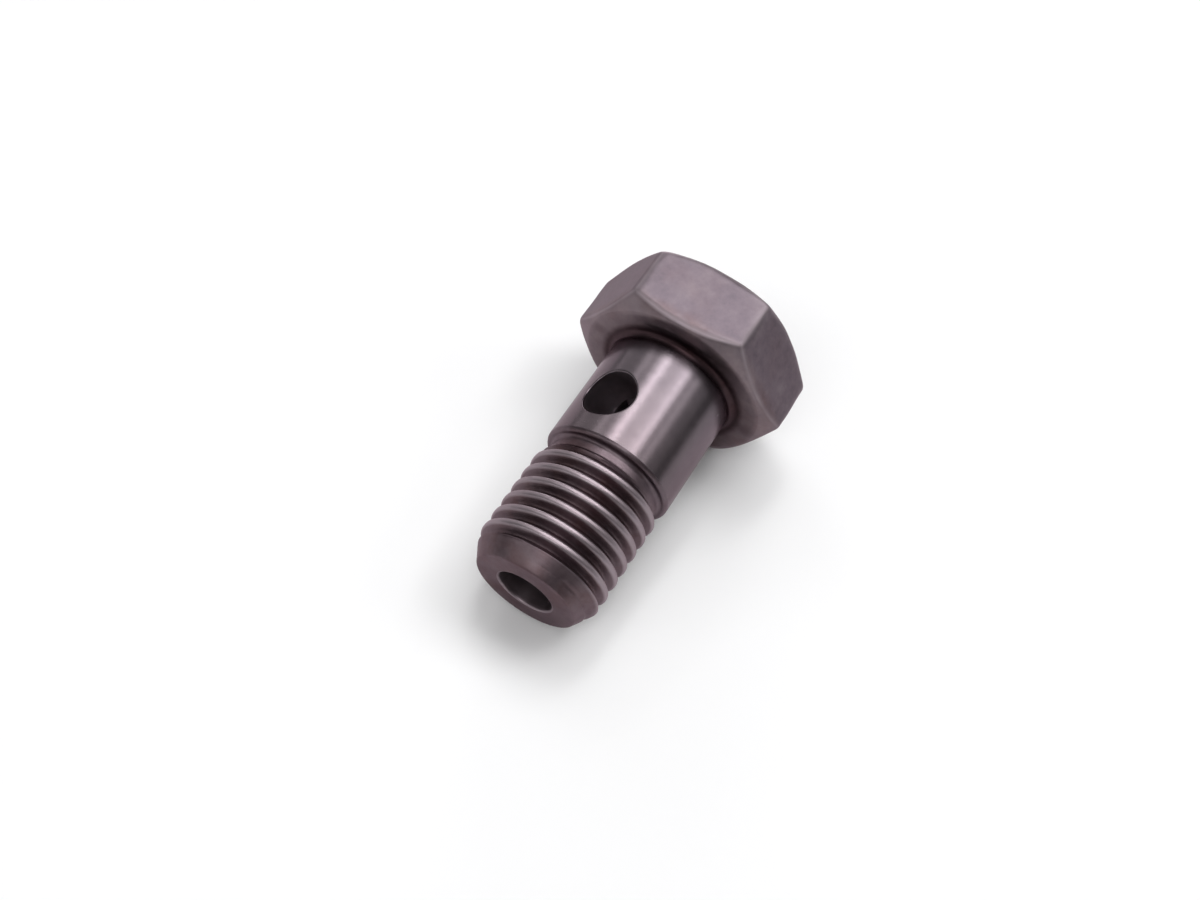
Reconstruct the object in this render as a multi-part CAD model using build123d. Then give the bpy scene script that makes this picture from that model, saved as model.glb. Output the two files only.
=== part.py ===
from build123d import *
import math
import os

# Banjo bolt (hollow hexagon screw): one turned piece, drilled along its axis
# from the tip and across the plain shank. It lies on its side, on the edge of
# one hexagon flat and on the end of its thread. Millimetres.

# head
AF = 12.0             # across flats
HEAD_H = 4.65         # height of the head
CHAMFER_R = 5.70      # radius where the head chamfers start, both faces
CHAMFER_DEG = 30.0    # angle of the head chamfers, from the face

# shank
SHANK_R = 4.00        # plain shank that carries the banjo eye
SHANK_L = 7.50        # bearing face to the end of the plain shank
NECK_FILLET = 0.35    # radius between the bearing face and the shank
SHANK_EDGE = 0.10     # edge break at the end of the plain shank

# thread run-out groove
GROOVE_R = 3.38       # just under the root of the thread
GROOVE_END = 8.60     # bearing face to the start of the thread
GROOVE_FLANK = 0.40   # axial length of the groove's sloping flank

# thread, drawn here at its major diameter (M8 fine)
THREAD_R = 3.925
TIP_START = 14.50     # bearing face to the start of the tip chamfer
LENGTH = 15.90        # bearing face to the tip
TIP_R = 3.12          # radius of the end face
TIP_EDGE = 0.12       # rounding of the end face's rim

# oil ways
BORE_R = 1.70         # blind bore on the axis, from the tip
BORE_MOUTH = 0.12     # edge break at its mouth
BORE_STOP = 2.30      # bearing face to where the drill's full diameter stops
DRILL_DEG = 118.0     # point angle of the drill
CROSS_R = 1.60        # hole across the shank, through both walls
CROSS_X = 4.50        # bearing face to its centre
CROSS_DEG = 27.5      # turned from the upper flat's normal, towards -Y
CROSS_EDGE = 0.05     # edge break at its mouths

SEAM_DEG = -25.0      # where the shaft's turned faces begin, clear of the cross hole
REST_FLAT = 0.015     # depth of the worn spots it lies on, at the head's edge and the thread's end


def turned(points, free=()):
    """Solid of revolution about Z from (radius, height) points. The sides listed in free are swept as free-form surfaces, so that they meet flats in splines."""
    sides = []
    for i, a in enumerate(points):
        b = points[(i + 1) % len(points)]
        a3, b3 = (a[0], 0, a[1]), (b[0], 0, b[1])
        sides.append(Spline(a3, b3) if i in free else Line(a3, b3))
    return revolve(make_face(Wire(sides)), axis=Axis.Z, revolution_arc=360)


# The bolt is first made upright: bearing face at z = 0, head below, tip above,
# and the flat that will lie uppermost has its normal along +X.
cham = math.tan(math.radians(CHAMFER_DEG))
corner = AF / math.sqrt(3.0)
rim = corner + 0.5
drop = (rim - CHAMFER_R) * cham

hexagon = extrude(
    Plane.XY.offset(-HEAD_H) * RegularPolygon(AF / 2, 6, major_radius=False, rotation=30),
    HEAD_H,
)
head = hexagon & turned([
    (0.0, -HEAD_H),
    (CHAMFER_R, -HEAD_H),
    (rim, -HEAD_H + drop),
    (rim, -drop),
    (CHAMFER_R, 0.0),
    (0.0, 0.0),
], free=(1, 3))

shaft = Rot(0, 0, SEAM_DEG) * turned([
    (0.0, -1.0),
    (SHANK_R, -1.0),
    (SHANK_R, SHANK_L - SHANK_EDGE),
    (SHANK_R - SHANK_EDGE, SHANK_L),
    (GROOVE_R, SHANK_L),
    (GROOVE_R, GROOVE_END - GROOVE_FLANK),
    (THREAD_R, GROOVE_END),
    (THREAD_R, TIP_START),
    (TIP_R, LENGTH),
    (0.0, LENGTH),
])
bolt = head + shaft

# fillet between the bearing face and the shank
neck = [
    e for e in bolt.edges().filter_by(GeomType.CIRCLE)
    if abs(e.center().Z) < 1e-3 and abs(e.radius - SHANK_R) < 1e-3
]
bolt = fillet(neck, NECK_FILLET)

# rounded rim of the end face
end_rim = [
    e for e in bolt.edges().filter_by(GeomType.CIRCLE)
    if abs(e.center().Z - LENGTH) < 1e-3 and abs(e.radius - TIP_R) < 1e-3
]
bolt = fillet(end_rim, TIP_EDGE)

# blind bore with its drill point
point = BORE_R / math.tan(math.radians(DRILL_DEG / 2))
bore = turned([
    (0.0, BORE_STOP - point),
    (BORE_R, BORE_STOP),
    (BORE_R, LENGTH - BORE_MOUTH),
    (BORE_R + BORE_MOUTH + 0.2, LENGTH + 0.2),
    (0.0, LENGTH + 0.2),
])
bolt = bolt - bore

# hole across the shank
cross = Pos(0, 0, CROSS_X) * Rot(0, 90, 0) * Cylinder(CROSS_R, 4 * SHANK_R)
cross = Rot(0, 0, CROSS_DEG) * cross
bolt = bolt - cross
mouths = [
    e for e in bolt.edges().filter_by(lambda e: e.geom_type not in (GeomType.CIRCLE, GeomType.LINE))
    if 0 < e.center().Z < SHANK_L and all(
        abs(math.hypot(e.position_at(t).X, e.position_at(t).Y) - SHANK_R) < 1e-3 for t in (0.1, 0.4, 0.7)
    )
]
bolt = chamfer(mouths, CROSS_EDGE)

# Lay it down: the tip points along +X, the upper flat's normal along +Z.
bolt = Rot(0, 90, 0) * Rot(0, 0, 180) * bolt

# Tilt it about Y until the end of the thread meets the plane that carries the
# head. The origin stays at the centre of the bearing face.
flat_edge = (AF / 2 - CHAMFER_R) * cham
TILT = math.degrees(math.atan2(AF / 2 - THREAD_R, TIP_START + flat_edge))
bolt = Rot(0, TILT, 0) * bolt
floor_z = -(AF / 2 * math.cos(math.radians(TILT)) - flat_edge * math.sin(math.radians(TILT)))

# worn spots: the head's edge and the thread's end are flat by a hair where they touch
floor_z += REST_FLAT
bolt = bolt - Pos(5, 0, floor_z - 2) * Box(40, 20, 4)

banjo_bolt = bolt.solids()[0]
banjo_bolt.label = "banjo_bolt"

os.makedirs("parts", exist_ok=True)
export_step(banjo_bolt, "parts/banjo_bolt.step")
print("solids", len(bolt.solids()), "volume", round(banjo_bolt.volume, 3), "tilt", round(TILT, 4), "floor z", round(floor_z, 4))
bb = banjo_bolt.bounding_box()
print("box", bb.min, bb.max, "centre of mass", banjo_bolt.center(CenterOf.MASS))
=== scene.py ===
import bpy
import math
import numpy as np
from mathutils import Matrix, Vector


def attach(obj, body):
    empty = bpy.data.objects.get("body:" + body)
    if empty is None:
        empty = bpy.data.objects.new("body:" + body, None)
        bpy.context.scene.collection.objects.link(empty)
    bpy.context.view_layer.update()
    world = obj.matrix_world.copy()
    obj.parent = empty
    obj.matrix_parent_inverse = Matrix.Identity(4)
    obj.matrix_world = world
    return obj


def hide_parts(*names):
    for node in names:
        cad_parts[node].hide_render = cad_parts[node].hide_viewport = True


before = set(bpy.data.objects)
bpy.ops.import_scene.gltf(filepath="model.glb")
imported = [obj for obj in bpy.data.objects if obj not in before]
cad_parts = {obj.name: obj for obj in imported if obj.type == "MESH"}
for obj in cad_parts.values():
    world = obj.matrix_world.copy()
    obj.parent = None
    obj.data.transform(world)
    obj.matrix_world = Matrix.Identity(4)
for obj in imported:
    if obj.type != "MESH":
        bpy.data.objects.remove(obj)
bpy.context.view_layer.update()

# ----------------------------------------------------------------------------
# Sizes, in millimetres, in the bolt's own frame: z runs along the axis from the
# bearing face (z = 0) to the tip, the head is at negative z, and the flat that
# lies uppermost has its normal at theta = 0.
# ----------------------------------------------------------------------------
AF, HEAD_H = 12.0, 4.65
CH_R, CH_T = 5.70, math.tan(math.radians(30))
SHANK_R, SHANK_L, NECK = 4.00, 7.50, 0.35
GROOVE_R, GROOVE_END, GROOVE_FLANK = 3.38, 8.60, 0.40
THREAD_R, ROOT_R, PITCH = 3.925, 3.43, 1.0
GROOVE_BED, SHANK_ROUND = 3.48, 0.27   # as worn: the groove a little filled, the shank's end rounded
TIP_START, LENGTH, TIP_R = 14.50, 15.90, 3.12
BORE_R, BORE_MOUTH, BORE_STOP = 1.70, 0.12, 2.30
CROSS_R, CROSS_X, CROSS_TH = 1.60, 4.50, math.radians(27.5)
CREST_Z = 11.91            # a crest's height on the line theta = CREST_TH
CREST_TH = math.radians(-12.4)

flat_edge = (AF / 2 - CH_R) * CH_T
TILT = math.atan2(AF / 2 - THREAD_R, TIP_START + flat_edge)
REST_FLAT = 0.015
FLOOR_Z = -(AF / 2 * math.cos(TILT) - flat_edge * math.sin(TILT)) + REST_FLAT


def to_row(P):
    """Bolt frame to the row frame, still in millimetres."""
    P = np.asarray(P, float)
    x, y, z = P[..., 0], P[..., 1], P[..., 2]
    c, s = math.cos(TILT), math.sin(TILT)
    return np.stack([z * c + x * s, -y, -z * s + x * c], -1)


# ----------------------------------------------------------------------------
# Smooth noise made of fixed sines, for uneven wear.
# ----------------------------------------------------------------------------
_rng = np.random.default_rng(20731)
_W = _rng.normal(size=(24, 3))
_W /= np.linalg.norm(_W, axis=1)[:, None]
_F = _rng.uniform(0, 2 * np.pi, 24)


def wave(P, size, first=0, n=8):
    """About -1 to 1, with features of this size in millimetres."""
    P = np.asarray(P, float)
    out = np.zeros(P.shape[:-1])
    for k in range(first, first + n):
        f = 2 * np.pi / (size * (0.7 + 0.6 * ((k * 7) % 8) / 7))
        out += np.sin(P @ _W[k % 24] * f + _F[k % 24])
    return out / math.sqrt(n / 2) / 1.6


def smax(a, b, k):
    h = np.maximum(k - np.abs(a - b), 0) / k
    return np.maximum(a, b) + h * h * k * 0.25


# ----------------------------------------------------------------------------
# The mesh, gathered as one closed skin.
# ----------------------------------------------------------------------------
V, FACES = [], []
count = 0


def add(P):
    global count
    P = np.asarray(P, float).reshape(-1, 3)
    V.append(P)
    ids = list(range(count, count + len(P)))
    count += len(P)
    return ids


def strip(a, b, closed=True):
    """Quads between two rings or rows of the same length."""
    n = len(a)
    for i in range(n if closed else n - 1):
        j = (i + 1) % n
        f = [a[i], a[j], b[j], b[i]]
        f = [q for k, q in enumerate(f) if q != f[k - 1]]
        if len(f) > 2:
            FACES.append(f)


def zipper(a, ta, b, tb):
    """Triangles between two rings of different length, by angle."""
    na, nb = len(a), len(b)
    ta = np.unwrap(np.asarray(ta, float))
    tb = np.unwrap(np.asarray(tb, float))
    tb = tb + 2 * np.pi * np.round((ta[0] - tb[0]) / (2 * np.pi))
    k = int(np.argmin(np.abs(tb - ta[0])))
    b = b[k:] + b[:k]
    tb = np.concatenate([tb[k:], tb[:k] + 2 * np.pi])
    ta = np.append(ta, ta[0] + 2 * np.pi)
    tb = np.append(tb, tb[0] + 2 * np.pi)
    i = j = 0
    while i < na or j < nb:
        if j >= nb or (i < na and ta[i + 1] <= tb[j + 1]):
            FACES.append([a[i % na], a[(i + 1) % na], b[j % nb]])
            i += 1
        else:
            FACES.append([a[i % na], b[(j + 1) % nb], b[j % nb]])
            j += 1


def ring(theta, r, z):
    r = np.broadcast_to(np.asarray(r, float), theta.shape)
    z = np.broadcast_to(np.asarray(z, float), theta.shape)
    return np.stack([r * np.cos(theta), r * np.sin(theta), z], -1)


# --- head ---------------------------------------------------------------
def corner_steps(n):
    """n steps from one corner of the hexagon to the next, close together at the corners."""
    u = np.linspace(-1, 1, n + 1)[:-1]
    w = np.sign(u) * (1 - (1 - np.abs(u)) ** 1.0)
    y = np.sin(u * np.pi / 2)
    y = 0.80 * y + 0.20 * w
    y = np.sign(y) * (1 - (1 - np.abs(y)) ** 1.25)
    return np.arctan(y * math.tan(math.pi / 6))


def head_distance(P):
    x, y, z = P[..., 0], P[..., 1], P[..., 2]
    r = np.hypot(x, y)
    th = np.arctan2(y, x)
    t = (th + np.pi / 6) % (np.pi / 3) - np.pi / 6
    wear = 1 + 0.30 * wave(P, 2.8)
    d1 = r * np.cos(t) - AF / 2
    d2 = r * np.cos(np.pi / 3 - np.abs(t)) - AF / 2
    side = smax(d1, d2, 0.36 * wear)
    c, s = math.cos(math.radians(30)), math.sin(math.radians(30))
    cone_t = (r - CH_R) * s - (z + HEAD_H) * c
    cone_b = (r - CH_R) * s + z * c
    d = smax(side, cone_t, 0.22 * wear)
    d = smax(d, cone_b, 0.27 * wear)
    d = smax(d, -HEAD_H - z, 0.14 * wear)
    d = smax(d, z, 0.12)
    return d


def settle(P, dist, steps=4):
    """Moves points onto the zero level of dist."""
    P = P.copy()
    e = 1e-4
    for _ in range(steps):
        f = dist(P)
        g = np.stack([(dist(P + e * np.eye(3)[k]) - dist(P - e * np.eye(3)[k])) / (2 * e) for k in range(3)], -1)
        P -= (f / np.maximum((g * g).sum(-1), 0.2))[..., None] * g
    return P


N_SECTOR = 36
theta_h = np.concatenate([k * np.pi / 3 + corner_steps(N_SECTOR) for k in range(6)])
N1 = len(theta_h)
tt = (theta_h + np.pi / 6) % (np.pi / 3) - np.pi / 6
rho = AF / 2 / np.cos(tt)

near = np.array([0.0, 0.03, 0.065, 0.105, 0.15, 0.21, 0.29])
half = np.concatenate([near, [0.42]])
chamfer_t = np.array([0.0, 0.03, 0.07, 0.12, 0.19, 0.28, 0.39, 0.5, 0.61, 0.72, 0.81, 0.88, 0.93, 0.97, 1.0])
flat_d = np.array([0.0, 0.03, 0.065, 0.105, 0.15, 0.21, 0.29, 0.40, 0.56, 0.78, 1.05, 1.4, 1.8])

head_rows = []
for r in (0.8, 1.6, 2.4, 3.2, 4.0, 4.6, 5.0, 5.3, 5.48, 5.58, 5.64, 5.68):
    head_rows.append(ring(theta_h, r, -HEAD_H))
for t in chamfer_t[:-1]:
    r = CH_R + (rho - CH_R) * t
    head_rows.append(ring(theta_h, r, -HEAD_H + (r - CH_R) * CH_T))
z_a = -HEAD_H + (rho - CH_R) * CH_T
z_b = -(rho - CH_R) * CH_T
span = z_b - z_a
for d in flat_d:
    head_rows.append(ring(theta_h, rho, z_a + d * span / 4.3))
for d in flat_d[::-1][:-1]:
    head_rows.append(ring(theta_h, rho, z_b - d * span / 4.3))
for t in chamfer_t[::-1]:
    r = CH_R + (rho - CH_R) * t
    head_rows.append(ring(theta_h, r, -(r - CH_R) * CH_T))
for r in (5.68, 5.64, 5.58, 5.48, 5.34, 5.15):
    head_rows.append(ring(theta_h, r, 0.0))
head_rows = [settle(R, head_distance) for R in head_rows[:-1]] + [head_rows[-1]]

apex = add([[0, 0, -HEAD_H]])[0]
prev = add(head_rows[0])
for i in range(N1):
    FACES.append([apex, prev[i], prev[(i + 1) % N1]])
for R in head_rows[1:]:
    nxt = add(R)
    strip(prev, nxt)
    prev = nxt
head_last = prev

# --- shank --------------------------------------------------------------
N2 = 256
theta_s = CROSS_TH + np.arange(N2) * 2 * np.pi / N2
shank_rows = []


def shank_ring(r, z):
    global prev
    nxt = add(ring(theta_s, r, z))
    strip(prev, nxt)
    prev = nxt
    return nxt


first = add(ring(theta_s, 4.95, 0.0))
zipper(head_last, theta_h, first, theta_s)
prev = first
for r in (4.75, 4.58, 4.46, 4.40):
    shank_ring(r, 0.0)
for b in np.linspace(0, 90, 9):
    b = math.radians(b)
    shank_ring(SHANK_R + NECK * (1 - math.sin(b)), NECK * (1 - math.cos(b)))
for z in (0.45, 0.60, 0.85, 1.2, 1.6, 1.95):
    shank_ring(SHANK_R, z)

HALF_I, ROWS = 24, 40
z_lo, z_hi = CROSS_X - 2.30, CROSS_X + 2.30
zs = np.linspace(z_lo, z_hi, ROWS + 1)
grid = []
in_patch = np.zeros(N2, bool)
for c in (0, N2 // 2):
    for k in range(-HALF_I + 1, HALF_I):
        in_patch[(c + k) % N2] = True
for j, z in enumerate(zs):
    if j in (0, ROWS):
        ids = add(ring(theta_s, SHANK_R, z))
    else:
        keep = ~in_patch
        got = add(ring(theta_s[keep], SHANK_R, z))
        ids = [None] * N2
        for k, q in zip(np.where(keep)[0], got):
            ids[k] = q
    grid.append(ids)
strip(prev, grid[0])
for j in range(ROWS):
    for i in range(N2):
        k = (i + 1) % N2
        skip = any(-HALF_I <= ((i - c + N2 // 2) % N2) - N2 // 2 < HALF_I for c in (0, N2 // 2))
        if not skip:
            FACES.append([grid[j][i], grid[j][k], grid[j + 1][k], grid[j + 1][i]])
prev = grid[-1]
for z in (6.9, 7.05, 7.16):
    shank_ring(SHANK_R, z)
for b in (0, 15, 30, 45, 60, 75, 90):
    b = math.radians(b)
    shank_ring(SHANK_R + SHANK_ROUND * (math.cos(b) - 1), SHANK_L + SHANK_ROUND * (math.sin(b) - 1))
for b in (15, 30, 45, 60, 75, 90):
    b = math.radians(b)
    shank_ring(GROOVE_BED + 0.25 * (1 - math.sin(b)), SHANK_L + 0.25 * (1 - math.cos(b)))
for z in (7.82, 7.92, 8.02):
    shank_ring(GROOVE_BED, z)


# --- thread -------------------------------------------------------------
def thread_radius(theta, z):
    """Radius of the threaded end: a right-hand 60 degree thread inside an envelope of groove, flank and tip chamfer."""
    u = (z - CREST_Z) / PITCH - (theta - CREST_TH) / (2 * np.pi)
    x = np.abs(u - np.round(u)) * PITCH            # 0 at a crest, half a pitch at a root
    flank = THREAD_R - (x - 0.15) * math.sqrt(3)
    k = 0.13
    h = np.maximum(k - np.abs(flank - THREAD_R), 0) / k
    r = np.minimum(flank, THREAD_R) - h * h * k * 0.25     # soft crest
    r = smax(r, np.full_like(r, ROOT_R), 0.22)             # round root
    env = np.minimum(
        GROOVE_BED + (z - (GROOVE_END - GROOVE_FLANK)) * (THREAD_R - GROOVE_BED) / GROOVE_FLANK,
        THREAD_R + 0.02 - (z - TIP_START) * (THREAD_R - TIP_R) / (LENGTH - TIP_START),
    )
    env = smax(env, np.full_like(env, GROOVE_BED), 0.10) * (z < 11) + env * (z >= 11)
    return -smax(-r, -env, 0.07)


UNIT = PITCH / N2
Z_START = 8.10
TOP = 1888                                   # 7.375 pitches
Z_END = Z_START + TOP * UNIT
lines = np.arange(16) * 16
# line phases are counted from the crest, so find the crest's height over Z_START at column 0
crest0 = CREST_Z + (theta_s[0] - CREST_TH) / (2 * np.pi) * PITCH
shift = int(round(((crest0 - Z_START) / UNIT) % N2))
CREST_Z += (Z_START + shift * UNIT - crest0) - PITCH * round((Z_START + shift * UNIT - crest0) / PITCH)
columns = []
bottom = add(ring(theta_s, thread_radius(theta_s, np.full(N2, Z_START)), Z_START))
strip(prev, bottom)
top = add(ring(theta_s, thread_radius(theta_s, np.full(N2, Z_END)), Z_END))
place, P_new = {}, []
base = count
for i in range(N2):
    col = []
    for n in range(-3, 12):
        for m, c in enumerate(lines):
            zi = c + N2 * n + i + shift
            if 0 < zi < TOP:
                place[(n * 16 + m, i)] = base + len(P_new)
                z = Z_START + zi * UNIT
                P_new.append((theta_s[i], z))
                col.append((zi, n * 16 + m))
    columns.append(sorted(col))
P_new = np.array(P_new)
R_new = thread_radius(P_new[:, 0], P_new[:, 1])
add(np.stack([R_new * np.cos(P_new[:, 0]), R_new * np.sin(P_new[:, 0]), P_new[:, 1]], -1))


def line_vertex(q, i):
    """The vertex of line q at column i, on a boundary ring where it meets one."""
    if i == N2:
        return line_vertex(q + 16, 0)
    n, m = divmod(q, 16)
    zi = lines[m] + N2 * n + i + shift
    if zi <= 0:
        return bottom[i]
    if zi >= TOP:
        return top[i]
    return place[(q, i)]


for i in range(N2):
    b0, b1 = bottom[i], bottom[(i + 1) % N2]
    t0, t1 = top[i], top[(i + 1) % N2]
    qs = []
    for q in range(-60, 200):
        n, m = divmod(q, 16)
        zl = lines[m] + N2 * n + i + shift
        if zl + 1 > 0 and zl < TOP:
            qs.append(q)
    left, right = [b0] + [line_vertex(q, i) for q in qs] + [t0], [b1] + [line_vertex(q, i + 1) for q in qs] + [t1]
    for k in range(len(left) - 1):
        f = [left[k], right[k], right[k + 1], left[k + 1]]
        f = [q for n, q in enumerate(f) if q != f[n - 1]]
        if len(f) > 2:
            FACES.append(f)
prev = top

# --- tip ----------------------------------------------------------------
slope = (THREAD_R - TIP_R) / (LENGTH - TIP_START)
for z in (15.58, 15.68):
    shank_ring(THREAD_R + 0.02 - (z - TIP_START) * slope, z)
a_cone = math.atan(slope)
rr = 0.16                                     # rounding of the end face's rim
# the arc's centre, tangent to the cone and to the end face
cz = LENGTH - rr
cr = THREAD_R + 0.02 - (cz - TIP_START) * slope - rr / math.cos(a_cone)
for b in np.linspace(a_cone, math.pi / 2, 7):
    shank_ring(cr + rr * math.cos(b), cz + rr * math.sin(b))
for r in (cr - 0.12, cr - 0.3, 2.35):
    shank_ring(r, LENGTH)

N3 = 96
theta_b = CROSS_TH + np.arange(N3) * 2 * np.pi / N3
inner = add(ring(theta_b, 2.12, LENGTH))
zipper(prev, theta_s, inner, theta_b)
prev = inner


def bore_ring(r, z):
    global prev
    nxt = add(ring(theta_b, r, z))
    strip(prev, nxt)
    prev = nxt
    return nxt


for r in (1.97, 1.88):
    bore_ring(r, LENGTH)
for b in (0, 22, 45, 67, 90):
    b = math.radians(b)
    bore_ring(BORE_R + BORE_MOUTH * (1 - math.sin(b)), LENGTH - BORE_MOUTH * (1 - math.cos(b)))
for z in (15.6, 15.3, 14.8, 14.0, 13.0, 12.0, 11.0, 10.0, 9.0, 8.0, 7.2, 6.8):
    bore_ring(BORE_R, z)

# --- where the cross hole opens into the bore ----------------------------
b_lo, b_hi = CROSS_X - 2.0, CROSS_X + 2.0
bzs = np.linspace(b_lo, b_hi, ROWS + 1)
HALF_B = N3 // 4
b_top = add(ring(theta_b, BORE_R, b_hi))
strip(prev, b_top)
b_bot = add(ring(theta_b, BORE_R, b_lo))
walls = {}
for c in (HALF_B, 3 * HALF_B):
    col = add(ring(np.full(ROWS - 1, theta_b[c]), BORE_R, bzs[1:-1]))
    walls[c] = [b_bot[c]] + col + [b_top[c]]


def rect_loop(i0, i1, rows, at):
    """Vertices round a rectangle of the grid, from its low corner: along, up, back and down."""
    loop = [at(i, 0) for i in range(i0, i1)]
    loop += [at(i1, j) for j in range(rows)]
    loop += [at(i, rows) for i in range(i1, i0, -1)]
    loop += [at(i0, j) for j in range(rows, 0, -1)]
    return loop


EDGE = 0.11
for c_out, c_in, turn in ((0, 0, 0.0), (N2 // 2, N3 // 2, math.pi)):
    th0 = CROSS_TH + turn
    d = np.array([math.cos(th0), math.sin(th0), 0.0])
    tng = np.array([-math.sin(th0), math.cos(th0), 0.0])
    # outer patch on the shank
    loop = rect_loop(-HALF_I, HALF_I, ROWS, lambda i, j: grid[j][(c_out + i) % N2])
    pos = rect_loop(-HALF_I, HALF_I, ROWS, lambda i, j: (SHANK_R * i * 2 * np.pi / N2, zs[j] - CROSS_X))
    pos = np.array(pos)
    M = len(loop)
    phi_o = np.unwrap(np.arctan2(pos[:, 1], pos[:, 0]))
    re = CROSS_R + EDGE
    goal = np.stack([SHANK_R * np.arcsin(re * np.cos(phi_o) / SHANK_R), re * np.sin(phi_o)], -1)
    ringids = loop
    for w in (0.22, 0.42, 0.58, 0.71, 0.82, 0.90, 0.96, 1.0):
        q = pos * (1 - w) + goal * w
        th = q[:, 0] / SHANK_R
        P = SHANK_R * np.cos(th)[:, None] * d + SHANK_R * np.sin(th)[:, None] * tng
        P[:, 2] = CROSS_X + q[:, 1]
        nxt = add(P)
        strip(ringids, nxt)
        ringids = nxt

    def point(rad, phi, h):
        P = h[:, None] * d + (rad * np.cos(phi))[:, None] * tng
        P[:, 2] = CROSS_X + rad * np.sin(phi)
        return P

    for b in (18, 36, 54, 72, 90):
        b = math.radians(b)
        rad = re - EDGE * math.sin(b)
        h = np.sqrt(SHANK_R ** 2 - (rad * np.cos(phi_o)) ** 2) - EDGE * (1 - math.cos(b))
        nxt = add(point(rad, phi_o, h))
        strip(ringids, nxt)
        ringids = nxt
    # inner patch, round the bore
    posb = np.array(rect_loop(-HALF_B, HALF_B, ROWS, lambda i, j: (i * 2 * np.pi / N3, bzs[j] - CROSS_X)))
    phi_i = np.unwrap(np.arctan2(posb[:, 1], posb[:, 0] * BORE_R))
    phi_i += 2 * np.pi * np.round((phi_o[0] - phi_i[0]) / (2 * np.pi))
    h_top = np.sqrt(SHANK_R ** 2 - (CROSS_R * np.cos(phi_o)) ** 2) - EDGE
    rows = 12
    for k in range(1, rows + 1):
        w = k / rows
        phi = phi_o * (1 - w) + phi_i * w
        h_a = np.sqrt(SHANK_R ** 2 - (CROSS_R * np.cos(phi)) ** 2) - EDGE
        h_b = np.sqrt(BORE_R ** 2 - (CROSS_R * np.cos(phi)) ** 2)
        nxt = add(point(CROSS_R, phi, h_a * (1 - w) + h_b * w))
        strip(ringids, nxt)
        ringids = nxt
    window = np.stack([np.arcsin(CROSS_R * np.cos(phi_i) / BORE_R), CROSS_R * np.sin(phi_i)], -1)

    def bore_at(i, j):
        k = (c_in + i) % N3
        if j == 0:
            return b_bot[k]
        if j == ROWS:
            return b_top[k]
        return walls[k][j]

    loopb = rect_loop(-HALF_B, HALF_B, ROWS, bore_at)
    for w in (0.25, 0.5, 0.75):
        q = window * (1 - w) + posb * w
        P = BORE_R * np.cos(q[:, 0])[:, None] * d + BORE_R * np.sin(q[:, 0])[:, None] * tng
        P[:, 2] = CROSS_X + q[:, 1]
        nxt = add(P)
        strip(ringids, nxt)
        ringids = nxt
    strip(ringids, loopb)

# --- bottom of the bore ---------------------------------------------------
prev = b_bot
bore_ring(BORE_R, BORE_STOP)
point_h = BORE_R / math.tan(math.radians(59))
for w in (0.25, 0.5, 0.75, 0.92):
    bore_ring(BORE_R * (1 - w), BORE_STOP - point_h * w)
drill = add([[0, 0, BORE_STOP - point_h]])[0]
for i in range(N3):
    FACES.append([prev[i], prev[(i + 1) % N3], drill])

co = np.concatenate(V)
row = to_row(co)
row[:, 2] = np.maximum(row[:, 2], FLOOR_Z)

# ----------------------------------------------------------------------------
# Blender object
# ----------------------------------------------------------------------------
mesh = bpy.data.meshes.new("banjo_bolt_body")
mesh.from_pydata((row / 1000).tolist(), [], FACES)
mesh.validate(clean_customdata=False)
import bmesh
bm = bmesh.new()
bm.from_mesh(mesh)
bmesh.ops.recalc_face_normals(bm, faces=bm.faces)
open_edges = sum(1 for e in bm.edges if len(e.link_faces) != 2)
bm.to_mesh(mesh)
bm.free()
print("vertices", len(mesh.vertices), "faces", len(mesh.polygons), "open edges", open_edges,
      "triangles", sum(len(p.vertices) - 2 for p in mesh.polygons))
mesh.polygons.foreach_set("use_smooth", [True] * len(mesh.polygons))
mesh.set_sharp_from_angle(angle=math.radians(50))

own = mesh.attributes.new("own", "FLOAT_VECTOR", "POINT")     # position in the bolt's own frame, mm
own.data.foreach_set("vector", co.astype(np.float32).ravel())


def edge_nearness(P):
    """1 on the head's edges and corners, falling to 0 on its faces."""
    x, y, z = P[:, 0], P[:, 1], P[:, 2]
    r, th = np.hypot(x, y), np.arctan2(y, x)
    t = (th + np.pi / 6) % (np.pi / 3) - np.pi / 6
    c, s = math.cos(math.radians(30)), math.sin(math.radians(30))
    d = np.stack([
        r * np.cos(t) - AF / 2,
        r * np.cos(np.pi / 3 - np.abs(t)) - AF / 2,
        (r - CH_R) * s - (z + HEAD_H) * c,
        (r - CH_R) * s + z * c,
        -HEAD_H - z,
    ])
    d.sort(axis=0)
    gap = d[-1] - d[-2]
    return np.exp(-(gap / 0.16) ** 1.4) * (z < -0.12)


worn = mesh.attributes.new("worn", "FLOAT", "POINT")
worn.data.foreach_set("value", edge_nearness(co).astype(np.float32))

bolt = bpy.data.objects.new("bolt", mesh)
bpy.context.scene.collection.objects.link(bolt)
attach(bolt, "root")
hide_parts("banjo_bolt")

# ----------------------------------------------------------------------------
# Material: one dull turned steel, driven by the position on the bolt, with painted shade and painted highlights in its
# colour
# ----------------------------------------------------------------------------
mat = bpy.data.materials.new("turned_steel")
mat.use_nodes = True
nt = mat.node_tree
bsdf = nt.nodes["Principled BSDF"]
bsdf.inputs["Metallic"].default_value = 1.0
bsdf.inputs["Specular Tint"].default_value = (0.80, 0.70, 0.74, 1)


def node(kind, **sockets):
    n = nt.nodes.new(kind)
    for name, value in sockets.items():
        n.inputs[int(name[1:]) if name[0] == "_" and name[1:].isdigit() else name].default_value = value
    return n


def link(out, into):
    nt.links.new(out, into)


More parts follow.
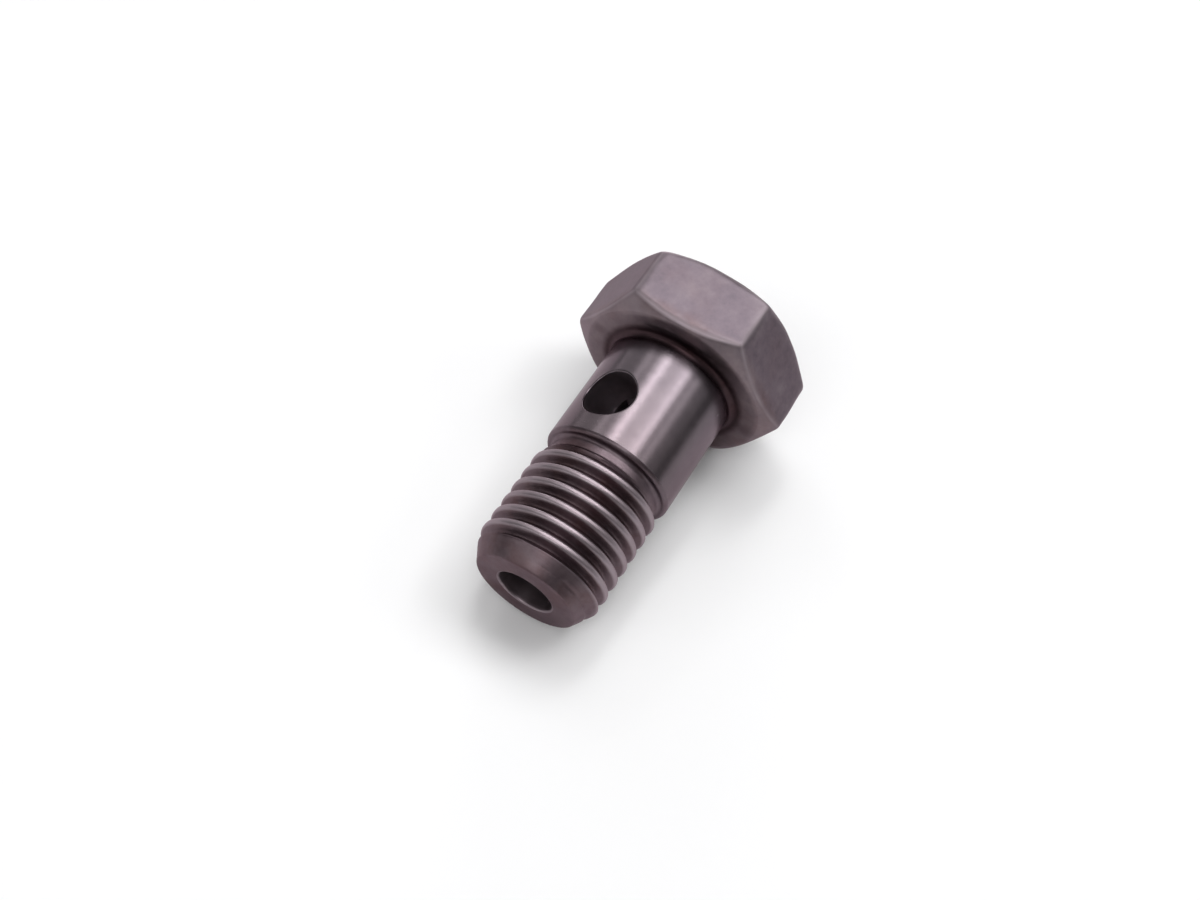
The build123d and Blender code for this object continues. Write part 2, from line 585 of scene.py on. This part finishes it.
def maths(op, a, b=None, clamp=False):
    n = nt.nodes.new("ShaderNodeMath")
    n.operation = op
    n.use_clamp = clamp
    for k, v in enumerate((a, b)):
        if v is None:
            continue
        if isinstance(v, (int, float)):
            n.inputs[k].default_value = v
        else:
            link(v, n.inputs[k])
    return n.outputs[0]


def ramp(value, *stops):
    """A smooth curve through (value, result) pairs."""
    lo, hi = stops[0][0], stops[-1][0]
    n = nt.nodes.new("ShaderNodeMapRange")
    link(value, n.inputs["Value"])
    n.inputs["From Min"].default_value, n.inputs["From Max"].default_value = lo, hi
    c = nt.nodes.new("ShaderNodeValToRGB")
    link(n.outputs["Result"], c.inputs["Fac"])
    cr = c.color_ramp
    cr.interpolation = "LINEAR"
    while len(cr.elements) < len(stops):
        cr.elements.new(0.5)
    for e, (p, v) in zip(cr.elements, stops):
        e.position = (p - lo) / (hi - lo)
        e.color = (v, v, v, 1) if isinstance(v, (int, float)) else (*v, 1)
    return c.outputs["Color"]


where = nt.nodes.new("ShaderNodeAttribute")
where.attribute_name = "own"
pos = where.outputs["Vector"]
sep = nt.nodes.new("ShaderNodeSeparateXYZ")
link(pos, sep.inputs[0])
px, py, pz = sep.outputs
rad = maths("SQRT", maths("ADD", maths("MULTIPLY", px, px), maths("MULTIPLY", py, py)))


def noise(scale, detail=3.0, rough=0.55, vector=None, shift=0.0):
    n = nt.nodes.new("ShaderNodeTexNoise")
    n.noise_dimensions = "4D" if shift else "3D"
    link(vector or pos, n.inputs["Vector"])
    n.inputs["Scale"].default_value = scale
    n.inputs["Detail"].default_value = detail
    n.inputs["Roughness"].default_value = rough
    if shift:
        n.inputs["W"].default_value = shift
    return n.outputs["Fac"]


# masks, 0 to 1
on_head = ramp(pz, (-0.25, 1.0), (0.12, 0.0))
on_shank = maths("MULTIPLY", ramp(pz, (0.10, 0.0), (0.40, 1.0), (7.20, 1.0), (7.42, 0.0)), ramp(rad, (3.86, 0.0), (3.96, 1.0)))
on_thread = maths("MULTIPLY", ramp(pz, (7.5, 0.0), (8.3, 1.0), (14.8, 1.0), (15.2, 0.0)), ramp(rad, (2.8, 0.0), (3.2, 1.0)))
in_bore = maths("MULTIPLY", ramp(rad, (1.66, 1.0), (1.80, 1.0), (1.84, 0.0)), ramp(pz, (0.0, 0.0), (0.9, 1.0)))
in_hole = maths("MULTIPLY", ramp(rad, (1.80, 1.0), (3.80, 1.0), (3.97, 0.0)), ramp(pz, (0.5, 0.0), (1.0, 1.0), (7.3, 1.0), (7.4, 0.0)))
# root: painted shade in the thread's valleys, used in the darkening below
root = maths("MULTIPLY", ramp(rad, (3.44, 1.0), (3.52, 0.8), (3.72, 0.0)), ramp(pz, (8.1, 0.0), (8.4, 1.0), (15.0, 1.0), (15.3, 0.0)))

mottle = maths("ADD", maths("MULTIPLY", noise(0.55, 4.0, 0.6), 0.6), maths("MULTIPLY", noise(1.9, 3.0, 0.6, shift=5.3), 0.4))
grain = noise(5.5, 3.0, 0.6, shift=3.1)
blotch = noise(0.23, 2.0, 0.5, shift=7.7)

mottle = maths("ADD", maths("MULTIPLY", maths("SUBTRACT", mottle, 0.5), ramp(on_shank, (0.0, 1.0), (1.0, 0.35))), 0.5)
tone_head = ramp(mottle, (0.32, (0.095, 0.078, 0.092)), (0.50, (0.140, 0.114, 0.132)), (0.68, (0.190, 0.157, 0.176)))
tone_end = ramp(mottle, (0.30, (0.096, 0.070, 0.080)), (0.50, (0.132, 0.098, 0.109)), (0.70, (0.170, 0.131, 0.143)))
blend = nt.nodes.new("ShaderNodeMix")
blend.data_type = "RGBA"
link(ramp(pz, (0.0, 0.0), (7.4, 0.55), (8.5, 1.0)), blend.inputs["Factor"])
link(tone_head, blend.inputs["A"])
link(tone_end, blend.inputs["B"])
edge = nt.nodes.new("ShaderNodeAttribute")
edge.attribute_name = "worn"
# worn edges of the head, lightened in the base colour: partly real wear, partly painted highlight
edge_wear_and_highlight = maths("MULTIPLY", edge.outputs["Fac"], ramp(blotch, (0.35, 0.35), (0.60, 1.0)), clamp=True)
# crest: painted highlight, the thread's crests lightened in the base colour
crest = maths("MULTIPLY", ramp(rad, (3.78, 0.0), (3.90, 1.0)), ramp(pz, (8.3, 0.0), (8.7, 1.0), (14.6, 1.0), (15.0, 0.0)))
mouth = maths("MULTIPLY", maths("MAXIMUM", in_bore, in_hole), 0.6)
# cone: painted light, the bearing-side chamfer made lighter in the base colour
cone = maths("ADD", pz, maths("MULTIPLY", maths("SUBTRACT", rad, CH_R), CH_T))
cone = maths("MULTIPLY", ramp(cone, (-0.14, 0.0), (-0.04, 1.0)), ramp(pz, (-1.5, 1.0), (-0.06, 1.0), (-0.02, 0.0)))
# lit gathers painted highlights and painted light (thread crests, bearing-side chamfer, bearing face) with the worn
# edges and the bores' bright metal; bright below mixes them into the base colour
lit = maths("MAXIMUM", maths("MULTIPLY", edge_wear_and_highlight, 0.85), maths("MAXIMUM", maths("MULTIPLY", crest, 0.62), maths("MULTIPLY", mouth, 0.7)))
# face: painted light, the bearing face made lighter in the base colour
face = maths("MULTIPLY", ramp(pz, (-0.12, 0.0), (-0.04, 1.0), (0.02, 1.0), (0.05, 0.0)), ramp(rad, (4.5, 0.0), (4.9, 1.0), (6.0, 1.0)))
lit = maths("MAXIMUM", lit, maths("MAXIMUM", maths("MULTIPLY", cone, 0.22), maths("MULTIPLY", face, 0.13)))
stain = maths("MULTIPLY", ramp(noise(0.42, 5.0, 0.62, shift=1.9), (0.46, 0.0), (0.66, 1.0)), maths("SUBTRACT", 1.0, on_shank))
bright = nt.nodes.new("ShaderNodeMix")
bright.data_type = "RGBA"
link(lit, bright.inputs["Factor"])
plain = nt.nodes.new("ShaderNodeMix")
plain.data_type = "RGBA"
plain.blend_type = "MULTIPLY"
link(on_shank, plain.inputs["Factor"])
link(blend.outputs["Result"], plain.inputs["A"])
plain.inputs["B"].default_value = (0.97, 1.01, 0.98, 1)
brown = nt.nodes.new("ShaderNodeMix")
brown.data_type = "RGBA"
brown.blend_type = "MULTIPLY"
link(maths("MULTIPLY", stain, ramp(pz, (-4.7, 0.25), (-1.3, 0.3), (-0.5, 1.0), (16.0, 1.0))), brown.inputs["Factor"])
link(plain.outputs["Result"], brown.inputs["A"])
brown.inputs["B"].default_value = (0.80, 0.68, 0.65, 1)
# the bearing side is browner, with two small dark marks
warm = nt.nodes.new("ShaderNodeMix")
warm.data_type = "RGBA"
warm.blend_type = "MULTIPLY"
link(maths("MULTIPLY", ramp(pz, (-1.0, 0.0), (-0.3, 1.0), (0.1, 1.0), (0.6, 0.0)), 0.8), warm.inputs["Factor"])
link(brown.outputs["Result"], warm.inputs["A"])
warm.inputs["B"].default_value = (1.0, 0.91, 0.84, 1)


def mark(x, y, z, size):
    n = nt.nodes.new("ShaderNodeVectorMath")
    n.operation = "DISTANCE"
    link(pos, n.inputs[0])
    n.inputs[1].default_value = (x, y, z)
    away = maths("ADD", n.outputs["Value"], maths("MULTIPLY", maths("SUBTRACT", grain, 0.5), 0.5))
    return ramp(away, (0.0, 1.0), (size * 0.35, 0.9), (size, 0.0))


dirt = nt.nodes.new("ShaderNodeMix")
dirt.data_type = "RGBA"
dirt.blend_type = "MULTIPLY"
link(maths("MAXIMUM", mark(-0.85, -5.10, 0.0, 0.75), maths("MULTIPLY", mark(1.47, 5.02, 0.0, 0.6), 0.7)), dirt.inputs["Factor"])
link(warm.outputs["Result"], dirt.inputs["A"])
dirt.inputs["B"].default_value = (0.50, 0.42, 0.40, 1)
link(dirt.outputs["Result"], bright.inputs["A"])
bright.inputs["B"].default_value = (0.40, 0.34, 0.37, 1)
tone = bright.outputs["Result"]
# painted shade: the base colour darkened in the thread's valleys and on the ring under the head
painted_shade = nt.nodes.new("ShaderNodeMix")
painted_shade.data_type = "RGBA"
painted_shade.blend_type = "MULTIPLY"
# neck: painted shade on the fillet ring and inner bearing face under the head
neck = maths("MULTIPLY", ramp(pz, (-0.05, 0.0), (-0.01, 1.0), (0.30, 1.0), (0.60, 0.0)), ramp(rad, (3.9, 1.0), (4.45, 1.0), (4.8, 0.15), (5.3, 0.0)))
dark = maths("ADD", maths("MULTIPLY", root, 0.22), maths("MULTIPLY", neck, 0.95), clamp=True)
link(dark, painted_shade.inputs["Factor"])
link(tone, painted_shade.inputs["A"])
painted_shade.inputs["B"].default_value = (0.28, 0.22, 0.23, 1)
link(painted_shade.outputs["Result"], bsdf.inputs["Base Color"])

rough = maths("ADD", ramp(maths("SUBTRACT", on_shank, maths("MULTIPLY", on_thread, 0.4)), (-0.4, 0.42), (0.0, 0.43), (1.0, 0.26)), maths("MULTIPLY", maths("SUBTRACT", mottle, 0.5), 0.25))
rough = maths("ADD", rough, maths("MULTIPLY", maths("SUBTRACT", grain, 0.5), ramp(on_shank, (0.0, 0.10), (1.0, 0.02))))
rough = maths("ADD", rough, maths("MULTIPLY", edge.outputs["Fac"], 0.18))
link(rough, bsdf.inputs["Roughness"])

# fine relief: satin grain everywhere, turning marks round the shank and on the faces
ring_v = nt.nodes.new("ShaderNodeCombineXYZ")
link(maths("MULTIPLY", rad, 9.0), ring_v.inputs[0])
link(maths("MULTIPLY", pz, 9.0), ring_v.inputs[1])
rings = noise(1.0, 2.0, 0.6, vector=ring_v.outputs[0])
relief = maths("ADD", maths("MULTIPLY", grain, ramp(on_shank, (0.0, 0.6), (1.0, 0.03))), maths("MULTIPLY", rings, ramp(maths("ADD", on_head, maths("MULTIPLY", on_shank, 0.8), clamp=True), (0.0, 0.7), (1.0, 0.0))))
bump = nt.nodes.new("ShaderNodeBump")
link(relief, bump.inputs["Height"])
bump.inputs["Strength"].default_value = 0.35
bump.inputs["Distance"].default_value = 0.00002
link(bump.outputs["Normal"], bsdf.inputs["Normal"])
mesh.materials.append(mat)

# ----------------------------------------------------------------------------
# Floor, lights, camera
# ----------------------------------------------------------------------------
floor_mesh = bpy.data.meshes.new("floor")
S = 0.6
floor_mesh.from_pydata([(-S, -S, 0), (S, -S, 0), (S, S, 0), (-S, S, 0)], [], [(0, 1, 2, 3)])
floor = bpy.data.objects.new("floor", floor_mesh)
floor.location = (0, 0, FLOOR_Z / 1000)
bpy.context.scene.collection.objects.link(floor)
fmat = bpy.data.materials.new("floor")
fmat.use_nodes = True
fb = fmat.node_tree.nodes["Principled BSDF"]
fb.inputs["Base Color"].default_value = (0.93, 0.93, 0.935, 1)
fb.inputs["Roughness"].default_value = 0.9
fb.inputs["Specular IOR Level"].default_value = 0.0
floor_mesh.materials.append(fmat)

world = bpy.data.worlds.new("studio")
bpy.context.scene.world = world
world.use_nodes = True
world.node_tree.nodes["Background"].inputs["Color"].default_value = (1, 1, 1, 1)
world.node_tree.nodes["Background"].inputs["Strength"].default_value = 0.185

# camera: fitted to the bolt's outline, as rotation rows (right, down, forward) in a
# frame turned 30 degrees from the bolt's, and the place of the bolt's origin
CAM_F = 1405.39
w = np.array([-1.68079143, 1.93906547, 1.62087203])
t_cam = np.array([5.24883332, -5.03677058, 103.84108555]) * 0.8
ang = np.linalg.norm(w)
kx, ky, kz = w / ang
K = np.array([[0, -kz, ky], [kz, 0, -kx], [-ky, kx, 0]])
Rc = np.eye(3) + math.sin(ang) * K + (1 - math.cos(ang)) * K @ K
q = math.radians(30)
turn = np.array([[math.cos(q), -math.sin(q), 0], [math.sin(q), math.cos(q), 0], [0, 0, 1]])
place_b = turn @ (-Rc.T @ t_cam)
axes = [to_row(turn @ Rc[0]), to_row(turn @ -Rc[1]), to_row(turn @ -Rc[2])]
eye = to_row(place_b) / 1000
cam_data = bpy.data.cameras.new("camera")
cam = bpy.data.objects.new("camera", cam_data)
bpy.context.scene.collection.objects.link(cam)
cam_data.sensor_fit = "HORIZONTAL"
cam_data.sensor_width = 36.0
cam_data.lens = CAM_F * 36.0 / 1200.0
cam_data.clip_start, cam_data.clip_end = 0.005, 5.0
Mc = Matrix.Identity(4)
for r in range(3):
    for c in range(3):
        Mc[r][c] = float(axes[c][r])
    Mc[r][3] = float(eye[r])
cam.matrix_world = Mc
bpy.context.scene.camera = cam
print("eye mm", eye * 1000, "up", axes[1], "back", axes[2])

scene = bpy.context.scene
scene.view_settings.view_transform = "Standard"


GAIN = 1.07
# soft boxes: elevation and azimuth in degrees as seen from the bolt, width and length in
# metres, 1 if the long side lies along the bolt, and brightness
LIGHTS = (
    (8.0, 205.7, 0.140, 0.140, 0, 4.21),
    (27.0, 115.7, 0.140, 0.140, 0, 0.34),
    (27.0, 244.3, 0.140, 0.140, 0, 0.52),
    (27.0, 321.4, 0.140, 0.140, 0, 1.69),
    (46.0, 0.0, 0.140, 0.140, 0, 3.11),
    (64.0, 22.5, 0.140, 0.140, 0, 1.97),
    (64.0, 202.5, 0.140, 0.140, 0, 2.10),
    (80.0, 90.0, 0.140, 0.140, 0, 0.70),
    (80.0, 180.0, 0.140, 0.140, 0, 1.12),
    (41.7, 116.7, 0.055, 0.140, 1, 2.19),
    (50.4, 120.2, 0.055, 0.140, 1, 0.27),
    (58.7, 126.5, 0.055, 0.140, 1, 6.79),
    (66.1, 137.8, 0.055, 0.140, 1, 3.84),
    (71.4, 158.2, 0.055, 0.140, 1, 2.35),
    (69.1, -146.7, 0.055, 0.140, 1, 5.77),
    (62.5, -131.3, 0.055, 0.140, 1, 1.04),
    (54.6, -122.9, 0.055, 0.140, 1, 0.76),
    (46.1, -118.2, 0.055, 0.140, 1, 2.16),
    (10.2, -114.3, 0.055, 0.140, 1, 0.95),
)
AXIS = Vector(to_row([0, 0, 1]))
for k, (el, az, wide, long, along, glow) in enumerate(LIGHTS):
    e, a = math.radians(el), math.radians(az)
    d = Vector((math.cos(a) * math.cos(e), math.sin(a) * math.cos(e), math.sin(e)))
    data = bpy.data.lights.new("soft_box_%d" % k, "AREA")
    data.shape = "RECTANGLE"
    data.size, data.size_y = wide, long
    data.energy = GAIN * glow * math.pi * wide * long
    o = bpy.data.objects.new("soft_box_%d" % k, data)
    scene.collection.objects.link(o)
    o.location = Vector((0.005, 0, 0)) + d * 0.35
    o.rotation_mode = "QUATERNION"
    if along:
        y = (AXIS - d * AXIS.dot(d)).normalized()
        x = y.cross(d)
        o.rotation_quaternion = Matrix((x, y, d)).transposed().to_quaternion()
    else:
        o.rotation_quaternion = d.to_track_quat("Z", "Y")
